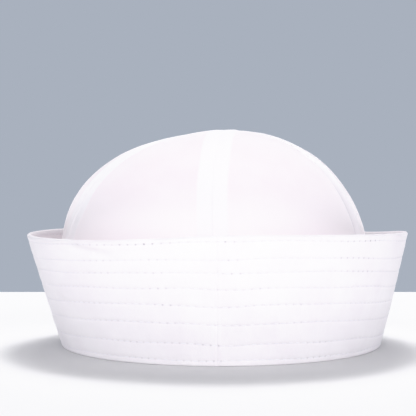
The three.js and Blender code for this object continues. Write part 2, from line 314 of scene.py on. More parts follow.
def crown_plan(bearing, level, across):
    """Where a point is in the plan, as shares of the crown's half-width and half-depth."""
    sine, cosine = np.sin(bearing), np.cos(bearing)
    offset = across / np.hypot(CROWN_HALF[0] * cosine, CROWN_HALF[1] * sine)
    meridian = reach_of_level(level) * np.sqrt(1 - offset**2)
    return meridian * sine + offset * cosine, -meridian * cosine + offset * sine


def stray_plan(x, y, level):
    """Moves points of the plan round the crown, where a seam strays from its bearing near the brim."""
    bearing = np.arctan2(x, -y)
    turn = np.zeros(np.shape(bearing))
    for degrees, seam in zip(SEAM_BEARINGS, SEAM_LOOKS):
        apart = signed_turn(bearing - math.radians(degrees))
        turn = turn + math.radians(seam["stray"]) * np.exp(-((apart / STRAY_WIDTH) ** 2))
    bearing = bearing + turn * smooth_step(*STRAY_FADE, level)
    reach = np.hypot(x, y)
    return reach * np.sin(bearing), -reach * np.cos(bearing)


def crown_point(x, y, level, depth):
    """A point of the crown at a depth under its surface, at a place in the plan."""
    reach = np.clip(np.hypot(x, y), 0, 1)
    rise = np.where(level > 1, (1 - reach**DOME_FULLNESS) ** (1 / DOME_FULLNESS), 0)
    height = np.where(level > 1, CROWN_WALL_HEIGHT + DOME_HEIGHT * rise, CROWN_WALL_HEIGHT * level)
    valley = 1 - np.sin(math.pi * gore_place(x, y))
    dip = SEAM_DIP * valley * np.minimum(1, level) * reach * (2 - reach)
    slack = ((x - SAG_PLACE[0]) / SAG_WIDTH[0]) ** 2 + ((y - SAG_PLACE[1]) / SAG_WIDTH[1]) ** 2
    dip = dip + CROWN_SAG * np.exp(-slack) * np.clip(level - 1, 0, 1) + valley_depth(x, y, height)
    x, y = stray_plan(x, y, level)
    flatness = np.maximum(reach, TINY) ** (DOME_FULLNESS - 2)
    normal = np.stack(
        [
            flatness * x / CROWN_HALF[0],
            flatness * y / CROWN_HALF[1],
            rise ** (DOME_FULLNESS - 1) / DOME_HEIGHT,
        ],
        -1,
    )
    normal /= np.linalg.norm(normal, axis=-1, keepdims=True)
    lean = CROWN_HALF[0] * read_table(CROWN_LEAN, "height", "lean", height / CROWN_HEIGHT)
    point = np.stack([CROWN_HALF[0] * x + lean, CROWN_HALF[1] * y, height], -1)
    return point - normal * (depth + dip)[..., None]


# The brim

def brim_rows(bearing):
    """Where the rows of stitches are at a bearing, as shares of the slant height, the lowest row first."""
    degrees = (np.degrees(bearing) + FULL_TURN / 2) % FULL_TURN - FULL_TURN / 2
    sway = read_table(ROW_SWAY, "bearing", "rise", degrees)
    rows = []
    for k, row in enumerate(STITCH_ROWS):
        waves = sum(np.sin(count * bearing + shift * k) for count, shift in WANDER_WAVES)
        wander = ROW_WANDER / BRIM_HEIGHT * waves / len(WANDER_WAVES)
        rows.append(row["up"] + row["follow"] * sway + wander)
    return np.array(rows)


def brim_shape(bearing):
    """The rim's spread and height at a bearing, and the way out of the base."""
    degrees = np.degrees(bearing) % FULL_TURN
    spread = BRIM_SPREAD * read_table(RIM_SECTIONS, "bearing", "spread", degrees)
    height = BRIM_HEIGHT * read_table(RIM_SECTIONS, "bearing", "height", degrees)
    outwards = np.stack([np.sin(bearing) / BASE_HALF[0], -np.cos(bearing) / BASE_HALF[1]], -1)
    outwards /= np.linalg.norm(outwards, axis=-1, keepdims=True)
    return spread, height, outwards


def brim_point(bearing, share, depth):
    """A point of the brim at a share of its slant height, at a depth under its outer face."""
    spread, height, outwards = brim_shape(bearing)
    slant = np.arctan2(spread, height)
    push = BRIM_BOW * np.sin(math.pi * share) - depth
    base = np.stack([BASE_HALF[0] * np.sin(bearing), -BASE_HALF[1] * np.cos(bearing)], -1)
    flat = base + outwards * (spread * share + np.cos(slant) * push)[..., None]
    return np.concatenate([flat, (height * share - np.sin(slant) * push)[..., None]], -1)


def brim_foot(bearing, rise, depth):
    """A point of the brim's underside or rolled edge, straight in from its outer face."""
    outwards = brim_shape(bearing)[2]
    base = np.stack([BASE_HALF[0] * np.sin(bearing), -BASE_HALF[1] * np.cos(bearing)], -1)
    return np.concatenate([base - outwards * depth[..., None], rise[..., None]], -1)


def nearest_row(bearing, share):
    """Number of the nearest row of stitches and the signed distance to it along the slant."""
    bearing = np.broadcast_to(bearing, share.shape)
    rows = brim_rows(bearing)
    spread, height, _ = brim_shape(bearing)
    away = (share - rows) * np.hypot(spread, height)
    number = np.abs(away).argmin(0)
    return number, np.take_along_axis(away, number[None], 0)[0]


def pinch_depth(bearing, share):
    """How far the rows of stitches draw the brim's face in: rounded pads with a crease between them."""
    rows = brim_rows(bearing)
    above = (share >= rows).sum(0)
    edges = np.concatenate([-rows[:1], rows, 2 - rows[-1:]])
    low = np.take_along_axis(edges, above[None], 0)[0]
    high = np.take_along_axis(edges, above[None] + 1, 0)[0]
    pad = np.sin(math.pi * np.clip((share - low) / (high - low), 0, 1)) ** PAD_ROUNDNESS
    _, away = nearest_row(bearing, share)
    return STITCH_PINCH * (1 - pad) + CREASE_DEPTH * np.exp(-((away / CREASE_WIDTH) ** 2))


# Wrinkles of the brim: each runs from one place to another, given as bearings in degrees and shares
BRIM_WRINKLES = [
    {"from": (-45, 0.94), "to": (-29, 0.88), "depth": 0.0013, "width": 0.0018},
    {"from": (-62, 0.55), "to": (-50, 0.43), "depth": 0.0003, "width": 0.0022},
    {"from": (38, 0.64), "to": (50, 0.74), "depth": 0.0002, "width": 0.0022},
]
WRINKLE_TAPER = 0.7
RIDGE_PLACE = 1.9  # how far above a wrinkle its ridge lies, in widths
RIDGE_SHARE = 0.7


def wrinkle_depth(bearing, share):
    run, rise = signed_turn(bearing) * BASE_HALF[0], share * BRIM_HEIGHT
    depth = np.zeros(np.shape(share))
    for wrinkle in BRIM_WRINKLES:
        (start, low), (end, high) = wrinkle["from"], wrinkle["to"]
        first = np.array([math.radians(start) * BASE_HALF[0], low * BRIM_HEIGHT])
        last = np.array([math.radians(end) * BASE_HALF[0], high * BRIM_HEIGHT])
        length = np.linalg.norm(last - first)
        way = (last - first) / length
        along = (run - first[0]) * way[0] + (rise - first[1]) * way[1]
        across = (rise - first[1]) * way[0] - (run - first[0]) * way[1]
        fade = np.sin(math.pi * np.clip(along / length, 0, 1)) ** WRINKLE_TAPER
        valley = np.exp(-((across / wrinkle["width"]) ** 2))
        ridge = np.exp(-(((across - RIDGE_PLACE * wrinkle["width"]) / wrinkle["width"]) ** 2))
        depth += wrinkle["depth"] * fade * (valley - RIDGE_SHARE * ridge)
    return depth


def brim_relief(bearing, share):
    """How far the cloth as a whole sinks at a place of the brim: puckers, waves, its join and wrinkles."""
    across, along = np.sin(bearing) * BASE_HALF[0], np.cos(bearing) * BASE_HALF[1]
    around = np.stack([across, along, share * BRIM_HEIGHT], -1)
    _, away = nearest_row(bearing, share)
    fine_puckers = cloth_noise(around, FINE_PUCKER_SIZE, 2)
    puckers = cloth_noise(around, PUCKER_SIZE, 1) + FINE_PUCKER_SHARE * fine_puckers
    near = PUCKER_BETWEEN + (1 - PUCKER_BETWEEN) * np.exp(-np.abs(away) / PUCKER_REACH)
    waves = cloth_noise(around, BRIM_WAVE_SIZE, 3) * np.clip(share * BRIM_WAVE_RISE, 0, 1)
    turn = signed_turn(bearing - JOIN_BEARING)
    join = JOIN_GROOVE * np.exp(-((turn * BASE_HALF[0] / JOIN_WIDTH) ** 2))
    return PUCKER_DEPTH * puckers * near + BRIM_WAVE * waves + join + wrinkle_depth(bearing, share)


# Meshes

def make_piece(name, points, faces, maps=(), values=()):
    """A mesh object with UV maps, given for each face corner, and values, given for each point."""
    mesh = bpy.data.meshes.new(name)
    mesh.from_pydata((points - [centre_x, 0, 0]).tolist(), [], faces.tolist())
    for map_name, corners in maps:
        layer = mesh.uv_layers.new(name=map_name, do_init=False)
        layer.uv.foreach_set("vector", np.asarray(corners, np.float32).ravel())
    for value_name, each in values:
        attribute = mesh.attributes.new(value_name, "FLOAT", "POINT")
        attribute.data.foreach_set("value", np.asarray(each, np.float32).ravel())
    mesh.validate()
    mesh.shade_smooth()
    mesh.set_sharp_from_angle(angle=SHARP_ANGLE)
    piece = bpy.data.objects.new(name, mesh)
    bpy.context.scene.collection.objects.link(piece)
    return piece


def quads_of_grid(rows, columns):
    """Corner indices of a grid's quads, with the rows as the first number."""
    row, column = np.meshgrid(np.arange(rows - 1), np.arange(columns - 1), indexing="ij")
    corner = (row * columns + column).ravel()
    return np.stack([corner, corner + 1, corner + columns + 1, corner + columns], -1)


def shell_piece(name, outer, inner, cloth_map, values):
    """A closed wall between two grids of points. The map and the values are the same on both sides."""
    rows, columns = outer.shape[:2]
    count = rows * columns
    quads = quads_of_grid(rows, columns)
    across = np.arange(columns - 1)
    up = np.arange(rows - 1) * columns
    top = (rows - 1) * columns
    last = columns - 1
    faces = np.concatenate(
        [
            quads,
            quads[:, ::-1] + count,
            np.stack([across, across + count, across + 1 + count, across + 1], -1),
            np.stack([top + across, top + across + 1, top + across + 1 + count, top + across + count], -1),
            np.stack([up, up + columns, up + columns + count, up + count], -1),
            np.stack([up + last, up + last + count, up + last + columns + count, up + last + columns], -1),
        ]
    )
    points = np.concatenate([outer.reshape(-1, 3), inner.reshape(-1, 3)])
    flat_map = np.concatenate([cloth_map.reshape(-1, 2)] * 2)
    doubled = [(value_name, np.concatenate([each.ravel()] * 2)) for value_name, each in values]
    return make_piece(name, points, faces, [("cloth", flat_map[faces.ravel()])], doubled)


def grid_lengths(points):
    """Distances along a grid from its middle column and up from its first row."""
    across = np.linalg.norm(np.diff(points, axis=1), axis=-1)
    run = np.concatenate([np.zeros((len(points), 1)), across.cumsum(1)], 1)
    run -= run[:, run.shape[1] // 2][:, None]
    up = np.linalg.norm(np.diff(points[:, points.shape[1] // 2], axis=0), axis=-1)
    rise = np.concatenate([[0], up.cumsum()])
    return np.stack([run, np.broadcast_to(rise[:, None], run.shape)], -1)


def crown_relief(points, away, edge, look):
    """How far the crown's cloth sinks: allowances lift it, seams draw it in, and it waves a little."""
    lift = BAND_RELIEF * (1 - smooth_step(-BAND_EDGE, BAND_EDGE, edge))
    high = smooth_step(*GROOVE_FADE, points[..., 2] / CROWN_HEIGHT)
    groove = look["groove"] * np.exp(-((away / GROOVE_WIDTH) ** 2)) * (1 - high)
    small_waves = cloth_noise(points, SMALL_WAVE_SIZE, 5)
    waves = cloth_noise(points, CROWN_WAVE_SIZE, 4) + SMALL_WAVE_SHARE * small_waves
    puckers = cloth_noise(points, SEAM_PUCKER_SIZE, 6) * np.exp(-away / SEAM_PUCKER_REACH)
    fade = np.clip(points[..., 2] / CALM_HEIGHT, 0, 1)
    return BAND_RELIEF + groove - lift + fade * (CROWN_WAVE * waves + SEAM_PUCKER * puckers)


def make_gore(name, start, end):
    share = np.linspace(0, 1, GORE_COLUMNS + 1)
    share = share - SEAM_CROWDING * np.sin(2 * math.pi * share) / (2 * math.pi)
    level = row_levels(0, level_of_reach(GORE_TIP_REACH / CROWN_HALF[0]))[:, None]
    inset = GORE_GAP / 2 / (CROWN_HALF[0] * reach_of_level(level))
    bearing = math.radians(start) + inset + (math.radians(end - start) - 2 * inset) * share
    level = np.broadcast_to(level, bearing.shape)
    x, y = crown_plan(bearing, level, 0.0)
    away, edge, look = seam_look(x, y)
    smooth = crown_point(x, y, level, np.zeros(level.shape))
    relief = crown_relief(smooth, away, edge, look)
    outer = crown_point(x, y, level, relief)
    inner = crown_point(x, y, level, np.minimum(relief + CROWN_CLOTH, BAND_DEPTH - BAND_CLEARANCE))
    height = smooth[..., 2] / CROWN_HEIGHT
    show = look["show"] + (1 - look["show"]) * smooth_step(*SHOW_FADE, height)
    # The seam's dark line is the seam itself and, where it is wide and dark, painted shade of its valley
    line = look["line"] * np.exp(-((away / look["line_width"]) ** 2)) * smooth_step(*LINE_FADE, height)
    values = [("seam_line_and_shade", line), ("allowance_edge", edge), ("allowance_show", show)]
    return shell_piece(f"gore_{name}", outer, inner, grid_lengths(smooth), values)


def band_faces(x, y, level, across):
    """A seam band's two faces: flat against the gores, and rounded with the seam's groove on the inside."""
    full = 1 - (np.abs(across) / (SEAM_BAND_WIDTH / 2)) ** BAND_FLATNESS
    groove = BAND_GROOVE * np.exp(-((across / BAND_GROOVE_WIDTH) ** 2))
    outer = crown_point(x, y, level, np.full(x.shape, BAND_DEPTH))
    ripple = BAND_RIPPLE * cloth_noise(outer, BAND_RIPPLE_SIZE, 8)
    share = BAND_THIN_EDGE + (1 - BAND_THIN_EDGE) * full - groove + ripple
    return outer, crown_point(x, y, level, BAND_DEPTH + BAND_CLOTH * share)


def band_across():
    return SEAM_BAND_WIDTH * (np.linspace(0, 1, BAND_COLUMNS + 1) - 0.5)


def make_long_band():
    climb = row_levels(SEAM_BAND_START, 2)
    level = np.concatenate([climb, climb[-2::-1]])[:, None]
    back = (np.arange(len(level)) >= len(climb))[:, None]
    across = np.broadcast_to(band_across(), (len(level), BAND_COLUMNS + 1))
    level = np.broadcast_to(level, across.shape)
    x, y = crown_plan(np.where(back, math.pi, 0.0), level, np.where(back, -across, across))
    outer, inner = band_faces(x, y, level, across)
    return shell_piece("seam_band_long", outer, inner, grid_lengths(outer), [("across_band", across)])


def side_band_levels(seam, next_seam):
    """The levels of a side band's rows, column by column, trimmed clear of the long band and the next one."""
    bearing = math.radians(seam)
    half_turn = math.radians(abs(next_seam - seam) / 2)
    gap = 2 * CLOTH_GAP
    across = band_across()
    outwards = across * math.cos(bearing) * math.copysign(1, math.sin(bearing))
    beside_long = (SEAM_BAND_WIDTH / 2 + gap - outwards) / abs(math.sin(bearing))
    beside_next = (across * math.copysign(1, next_seam - seam) + gap) / math.tan(half_turn)
    last = level_of_reach(np.maximum(beside_long, beside_next) / CROWN_HALF[0])
    return np.stack([row_levels(SEAM_BAND_START, each) for each in last], -1)


def make_side_band(name, seam, next_seam):
    level = side_band_levels(seam, next_seam)
    across = np.broadcast_to(band_across(), level.shape)
    x, y = crown_plan(math.radians(seam), level, across)
    outer, inner = band_faces(x, y, level, across)
    return shell_piece(f"seam_band_{name}", outer, inner, grid_lengths(outer), [("across_band", across)])


def brim_bearings():
    """Bearings of the brim's columns, with finer steps at its join. The first and last are the same place."""
    regular = np.linspace(0, 2 * math.pi, BRIM_COLUMNS, endpoint=False)
    fine = np.linspace(-JOIN_REACH, JOIN_REACH, JOIN_COLUMNS) / BASE_HALF[0] + JOIN_BEARING
    clear = np.abs(signed_turn(regular - JOIN_BEARING)) > JOIN_CLEAR / BASE_HALF[0]
    around = np.sort(np.concatenate([regular[clear], fine % (2 * math.pi)]))
    return np.append(around, around[0] + 2 * math.pi)


def run_length(bearing):
    """Distance round the brim at half its height, for each of a list of bearings."""
    points = brim_point(bearing, np.full(bearing.shape, 0.5), np.zeros(bearing.shape))
    return np.concatenate([[0], np.linalg.norm(np.diff(points, axis=0), axis=-1).cumsum()])


def face_shares(bearing, steps):
    """Shares of the slant height from the rolled base to the fold, finer beside each row of stitches."""
    height = brim_shape(bearing)[1]
    stops = np.concatenate([[BASE_ROLL / height], brim_rows(bearing), [1 - BRIM_CLOTH / 2 / height]])
    eased = (1 - np.cos(math.pi * np.arange(steps) / steps)) / 2
    spans = [low + (high - low) * t for low, high in zip(stops[:-1], stops[1:]) for t in eased]
    return np.array(spans + [stops[-1]])


def brim_rings(bearing, slant_length):
    """The brim's rings of points round its section, each with its points' slant positions and shares."""
    rings = []

    def add_foot(rise, depth):
        share = np.zeros(bearing.shape)
        points = brim_foot(bearing, np.full(bearing.shape, rise), np.full(bearing.shape, depth))
        rings.append((points, share - depth, share))

    def add_face(share, depth, slant_position):
        relief = brim_relief(bearing, share)
        rings.append((brim_point(bearing, share, depth + relief), slant_position, share))

    for depth in np.linspace(BRIM_CLOTH, BASE_ROLL, UNDERSIDE_STEPS):
        add_foot(0.0, depth)
    for turn in ROLL_TURNS:
        add_foot(BASE_ROLL * (1 - math.cos(turn)), BASE_ROLL * (1 - math.sin(turn)))
    for share in face_shares(bearing, OUTER_STEPS):
        add_face(share, pinch_depth(bearing, share), share * slant_length)
    for step in range(1, FOLD_STEPS):
        turn = math.pi * step / FOLD_STEPS
        share = 1 - BRIM_CLOTH / 2 / brim_shape(bearing)[1] * (1 - math.sin(turn))
        depth = np.full(bearing.shape, BRIM_CLOTH / 2 * (1 - math.cos(turn)))
        add_face(share, depth, slant_length + BRIM_CLOTH / 2 * turn)
    for share in face_shares(bearing, INNER_STEPS)[::-1]:
        add_face(share, inner_face_depth(bearing, share), (2 - share) * slant_length)
    return [np.stack(column) for column in zip(*rings)]


def inner_face_depth(bearing, share):
    return BRIM_CLOTH - pinch_depth(bearing, share)


def make_brim():
    bearing = brim_bearings()
    run = run_length(bearing)
    slant_length = np.hypot(*brim_shape(bearing)[:2])
    points, slants, shares = brim_rings(bearing, slant_length)
    points = points[:, :-1]
    ring_count, columns = points.shape[:2]
    ring, column = np.meshgrid(np.arange(ring_count), np.arange(columns), indexing="ij")
    ring, column = ring.ravel(), column.ravel()
    next_ring, next_column = (ring + 1) % ring_count, (column + 1) % columns
    faces = np.stack(
        [
            ring * columns + column,
            ring * columns + next_column,
            next_ring * columns + next_column,
            next_ring * columns + column,
        ],
        -1,
    )
    wrapped = np.stack([ring, ring, next_ring, next_ring], -1)
    around = np.stack([column, column + 1, column + 1, column], -1)
    # Each strip between two rings keeps to the stitches of one row
    middle = (shares + np.roll(shares, -1, 0))[:, 0] / 2
    number = nearest_row(bearing[:1], middle[:, None])[0][:, 0]
    row_share = brim_rows(bearing)[number[ring][:, None], around]
    away = (shares[wrapped, around] - row_share) * slant_length[around]
    stitch = run / run[-1] * stitch_count(run)
    phase = stitch[around] + ROW_SHIFT * number[ring][:, None]
    cloth_map = np.stack([run[around], slants[wrapped, around]], -1)
    maps = [("cloth", cloth_map.reshape(-1, 2)), ("stitches", np.stack([phase, away], -1).reshape(-1, 2))]
    # Where the brim's inside, darkened with painted shade, begins
    inside = smooth_step(*INSIDE_SHADE_START, slants[:, :-1] - slant_length[:-1])
    return make_piece("brim_cloth", points.reshape(-1, 3), faces, maps, [("inside", inside)])


# A stitch from end to end: shares of its length, how thick it is and how high it lies, in thread radii
THREAD_PLACES = np.array([-0.5, -0.43, -0.22, 0.0, 0.22, 0.43, 0.5])
THREAD_SWELL = np.array([0.45, 0.85, 1.0, 1.0, 1.0, 0.85, 0.45])
THREAD_RISE = np.array([-2.2, -0.9, 0.0, 0.15, 0.0, -0.9, -2.2])
TANGENT_STEP = 0.0005  # in radians
NORMAL_STEP = 0.001


def make_threads(name, centres, ways, outwards):
    """Short stitches as one mesh: each a thread that rises out of the cloth, lies along it and dives back."""
    sideways = np.cross(outwards, ways)
    angle = 2 * math.pi * np.arange(THREAD_SIDES) / THREAD_SIDES
    rise, swell = THREAD_RADIUS * THREAD_RISE[:, None], THREAD_RADIUS * THREAD_SWELL[:, None]
    along = (THREAD_PLACES * STITCH_LENGTH)[:, None, None]
    points = (
        centres[:, None, None]
        + ways[:, None, None] * along
        + outwards[:, None, None] * (rise + swell * np.cos(angle))[..., None]
        + sideways[:, None, None] * (swell * np.sin(angle))[..., None]
    )
    first = (np.arange(len(centres)) * len(THREAD_PLACES) * THREAD_SIDES)[:, None, None]
    level = (np.arange(len(THREAD_PLACES) - 1) * THREAD_SIDES)[:, None]
    low = first + level + np.arange(THREAD_SIDES)
    low_after = first + level + (np.arange(THREAD_SIDES) + 1) % THREAD_SIDES
    tube = np.stack([low, low_after, low_after + THREAD_SIDES, low + THREAD_SIDES], -1)
    halves = np.array([[0, 3, 2, 1], [0, 5, 4, 3]])
    far_end = first + (len(THREAD_PLACES) - 1) * THREAD_SIDES
    ends = [(first + halves).reshape(-1, 4), (far_end + halves[:, ::-1]).reshape(-1, 4)]
    faces = np.concatenate([tube.reshape(-1, 4), *ends])[:, ::-1]
    run = np.broadcast_to(along[None, ..., 0], points.shape[:3])
    return make_piece(name, points.reshape(-1, 3), faces, [], [("along_thread", run)])


def unit(vectors):
    return vectors / np.linalg.norm(vectors, axis=-1, keepdims=True)


def stitch_count(run):
    return round(run[-1] / STITCH_PITCH)


def row_point(bearing, row, face_depth, extra_depth):
    """A point of a row of stitches, at an extra depth under the face it lies on."""
    share = brim_rows(bearing)[row]
    relief = brim_relief(bearing, share)
    return brim_point(bearing, share, face_depth(bearing, share) + relief + extra_depth)


def make_row_stitches(name, face_depth, side):
    """The stitches of all rows on one face of the brim: side is 1 on the outer one, -1 on the inner one."""
    bearing = brim_bearings()
    run = run_length(bearing)
    count = stitch_count(run)
    centres, ways, outwards = [], [], []
    for k in range(len(STITCH_ROWS)):
        places = (np.arange(count) + 0.5 - ROW_SHIFT * k) % count / count * run[-1]
        at = np.interp(places, run, bearing)
        here = row_point(at, k, face_depth, 0.0)
        before = row_point(at - TANGENT_STEP, k, face_depth, 0.0)
        after = row_point(at + TANGENT_STEP, k, face_depth, 0.0)
        above = row_point(at, k, face_depth, -NORMAL_STEP)
        centres.append(here)
        ways.append(unit(after - before))
        outwards.append(unit(above - here) * side)
    return make_threads(name, *(np.concatenate(each) for each in (centres, ways, outwards)))


# Materials

class Nodes:
    """A short way to write a material's nodes."""

    def __init__(self, material):
        material.use_nodes = True
        self.tree = material.node_tree
        self.shader = next(n for n in self.tree.nodes if n.type == "BSDF_PRINCIPLED")

    def plug(self, socket, value):
        if isinstance(value, bpy.types.NodeSocket):
            self.tree.links.new(value, socket)
        else:
            socket.default_value = value

    def add(self, kind, settings=(), **inputs):
        node = self.tree.nodes.new(kind)
        for key, value in dict(settings).items():
            setattr(node, key, value)
        for key, value in inputs.items():
            self.plug(node.inputs[key.replace("_", " ")], value)
        return node

    def attribute(self, name):
        return self.add("ShaderNodeAttribute", {"attribute_name": name}).outputs["Fac"]

    def uv(self, name):
        return self.add("ShaderNodeUVMap", {"uv_map": name}).outputs[0]

    def place(self):
        """Where a point is in its piece."""
        return self.add("ShaderNodeTexCoord").outputs["Object"]

    def parts(self, vector):
        return self.add("ShaderNodeSeparateXYZ", Vector=vector).outputs

    def noise(self, vector, scale, detail):
        return self.add("ShaderNodeTexNoise", Vector=vector, Scale=scale, Detail=detail).outputs[0]

    def maths(self, operation, *values):
        node = self.tree.nodes.new("ShaderNodeMath")
        node.operation = operation
        for socket, value in zip(node.inputs, values):
            self.plug(socket, value)
        return node.outputs[0]

    def mix(self, factor, first, second):
        node = self.tree.nodes.new("ShaderNodeMix")
        node.data_type = "RGBA"
        self.plug(node.inputs["Factor"], factor)
        self.plug(node.inputs[6], first)
        self.plug(node.inputs[7], second)
        return node.outputs[2]

    def ramp(self, value, low, high, to_low=0.0, to_high=1.0):
        node = self.tree.nodes.new("ShaderNodeMapRange")
        node.interpolation_type = "SMOOTHSTEP"
        for socket, each in zip(node.inputs, (value, low, high, to_low, to_high)):
            self.plug(socket, each)
        return node.outputs[0]


def rgb(red, green, blue):
    """A colour socket's value from a display colour of 0 to 255."""
    linear = [((c / 255 + 0.055) / 1.055) ** 2.4 if c > 10 else c / 255 / 12.92 for c in (red, green, blue)]
    return (*linear, 1.0)


WEAVE_PITCH = 0.00075
WEAVE_SLANT = (0, 0, math.radians(27))
WAVE_NODE_FACTOR = 20  # the wave texture's own factor on its coordinates
YARN_STRETCH = (1.0, 0.2, 1.0)
YARN_SCALE = 1600.0
MOTTLE_SCALE = 42.0
CRUMPLE_SCALE = 230.0
MOTTLE_SHARE = 0.75  # of the cloth's tone; the rest is the yarn's
TONE_RANGE = (0.35, 0.65)
WEAVE_HEIGHT = 0.5
YARN_HEIGHT = 0.6
CRUMPLE_HEIGHT = 1.6
CLOTH_BUMP = 0.0001
CROWN_TONES = (rgb(251, 241, 245), rgb(249, 238, 242))
CROWN_LOW_PAINTED_LIGHT = rgb(255, 248, 250)
LOW_CROWN_LIGHT_HEIGHTS = (0.1, 0.068)  # heights between which the painted light that makes the crown's low cloth paler begins
ALLOWANCE_COLOUR = rgb(254, 250, 252)
ALLOWANCE_EDGE = 0.0009
SEAM_LINE_AND_SHADE_COLOUR = rgb(205, 196, 206)
BRIM_TONES = (rgb(251, 247, 249), rgb(248, 243, 246))
BRIM_INSIDE_SHADE_COLOUR = rgb(238, 230, 233)
# Painted shade: a dark line along each row of stitches, the shade of the crease the thread draws in the cloth
ROW_SHADE_COLOUR = rgb(178, 169, 180)
ROW_SHADE_WIDTH = 0.0007
ROW_SHADE_SHOW = 0.09
# Painted shade: dark dots where the needle holes lie in shade
HOLE_SHADE_COLOUR = rgb(126, 116, 128)
HOLE_SHADE_REACH = (0.00085, 0.0001)
HOLE_SHADE_SHOW = (0.45, 0.68, 0.02, 0.24)  # a range of the uneven noise, and how much the painted shade of the needle holes shows over it
HOLE_SHADE_LEFT = (-0.08, -0.035, 0.2, 1.0)  # the holes' painted shade fades on the cap's left, between two places on X
HOLE_SHADE_TOP_ROW = (0.057, 0.06, 1.0, 2.4)  # and is stronger in the top row, above this slant position
UNEVEN_SCALE = 28.0
BAND_TONES = (rgb(247, 244, 246), rgb(242, 238, 242))
BAND_SEAM_COLOUR = rgb(190, 182, 192)
BAND_SEAM_SHOW = 0.35
THREAD_TONES = (rgb(248, 246, 249), rgb(238, 234, 241))
TWIST_PITCH = 0.0007
TWIST_BUMP = 0.00004
FLOOR_COLOUR = rgb(220, 220, 220)


def cloth_surface(nodes, light, dark, bump):
    """Colour and bump of cotton twill, from the cloth map: slanted ridges, slubs in the yarn and mottling."""
    uv = nodes.uv("cloth")
    slanted = nodes.add("ShaderNodeMapping", Vector=uv, Rotation=WEAVE_SLANT)
    twill = nodes.add(
        "ShaderNodeTexWave",
        {"wave_type": "BANDS", "bands_direction": "X", "wave_profile": "SIN"},
        Vector=slanted.outputs[0],
        Scale=2 * math.pi / (WAVE_NODE_FACTOR * WEAVE_PITCH),
        Distortion=0.6,
        Detail=1.0,
    ).outputs["Fac"]
    yarn_way = nodes.add("ShaderNodeMapping", Vector=uv, Scale=YARN_STRETCH).outputs[0]
    yarn = nodes.noise(yarn_way, YARN_SCALE, 2.0)
    mottle = nodes.maths("MULTIPLY", nodes.noise(uv, MOTTLE_SCALE, 3.0), MOTTLE_SHARE)
    crumple = nodes.noise(uv, CRUMPLE_SCALE, 2.0)
    tone = nodes.maths("ADD", mottle, nodes.maths("MULTIPLY", yarn, 1 - MOTTLE_SHARE))
    colour = nodes.mix(nodes.ramp(tone, *TONE_RANGE), light, dark)
    weave, slubs = nodes.maths("MULTIPLY", twill, WEAVE_HEIGHT), nodes.maths("MULTIPLY", yarn, YARN_HEIGHT)
    height = nodes.maths("ADD", weave, slubs)
    height = nodes.maths("ADD", height, nodes.maths("MULTIPLY", crumple, CRUMPLE_HEIGHT))
    normal = nodes.add("ShaderNodeBump", Strength=bump, Distance=CLOTH_BUMP, Height=height).outputs[0]
    return colour, normal


def finish_cloth(nodes, colour, normal, roughness, sheen):
    shader = nodes.shader
    nodes.plug(shader.inputs["Base Color"], colour)
    nodes.plug(shader.inputs["Normal"], normal)
    shader.inputs["Roughness"].default_value = roughness
    shader.inputs["Specular IOR Level"].default_value = 0.25
    shader.inputs["Sheen Weight"].default_value = sheen
    shader.inputs["Sheen Roughness"].default_value = 0.5
    shader.inputs["Sheen Tint"].default_value = (1.0, 1.0, 1.0, 1.0)


def crown_cotton():
    material = bpy.data.materials.new("crown_cotton")
    nodes = Nodes(material)
    colour, normal = cloth_surface(nodes, *CROWN_TONES, bump=0.5)
    height = nodes.parts(nodes.place())[2]
    # Painted light: the crown's cloth is paler towards its base, lifting the shade that falls there.
    colour = nodes.mix(nodes.ramp(height, *LOW_CROWN_LIGHT_HEIGHTS), colour, CROWN_LOW_PAINTED_LIGHT)
    backed = nodes.ramp(nodes.attribute("allowance_edge"), ALLOWANCE_EDGE, -ALLOWANCE_EDGE)
    backed = nodes.maths("MULTIPLY", backed, nodes.attribute("allowance_show"))
    colour = nodes.mix(backed, colour, ALLOWANCE_COLOUR)
    # Painted shade: a dark line along each seam, the seam itself and the shade of its valley at the front
    # right seam.
    colour = nodes.mix(nodes.attribute("seam_line_and_shade"), colour, SEAM_LINE_AND_SHADE_COLOUR)
    finish_cloth(nodes, colour, normal, roughness=0.92, sheen=0.7)
    return material


def brim_cotton():
    material = bpy.data.materials.new("brim_cotton")
    nodes = Nodes(material)
    colour, normal = cloth_surface(nodes, *BRIM_TONES, bump=0.5)
    # Painted shade: dark dots at the needle holes, where the cloth dips into shade
    stitch = nodes.parts(nodes.uv("stitches"))
    phase, away = stitch[0], nodes.maths("ABSOLUTE", stitch[1])
    from_hole = nodes.maths("MULTIPLY", nodes.maths("PINGPONG", phase, 0.5), STITCH_PITCH)
    squares = nodes.maths("ADD", nodes.maths("POWER", from_hole, 2.0), nodes.maths("POWER", away, 2.0))
    apart = nodes.maths("SQRT", squares)
    uv = nodes.uv("cloth")
    show = nodes.ramp(nodes.noise(uv, UNEVEN_SCALE, 3.0), *HOLE_SHADE_SHOW)
    show = nodes.maths("MULTIPLY", show, nodes.ramp(nodes.parts(nodes.place())[0], *HOLE_SHADE_LEFT))
    show = nodes.maths("MULTIPLY", show, nodes.ramp(nodes.parts(uv)[1], *HOLE_SHADE_TOP_ROW))
    hole_shade = nodes.maths("MULTIPLY", nodes.ramp(apart, *HOLE_SHADE_REACH), show)
    # Painted shade: a dark line along each row, where its crease lies in shade.
    colour = nodes.mix(nodes.ramp(away, ROW_SHADE_WIDTH, 0.0, 0.0, ROW_SHADE_SHOW), colour, ROW_SHADE_COLOUR)
    colour = nodes.mix(hole_shade, colour, HOLE_SHADE_COLOUR)
    # Painted shade: the brim's inside is darker, as it lies in the shade of the crown and the rim.
    colour = nodes.mix(nodes.attribute("inside"), colour, BRIM_INSIDE_SHADE_COLOUR)
    finish_cloth(nodes, colour, normal, roughness=0.9, sheen=0.15)
    return material


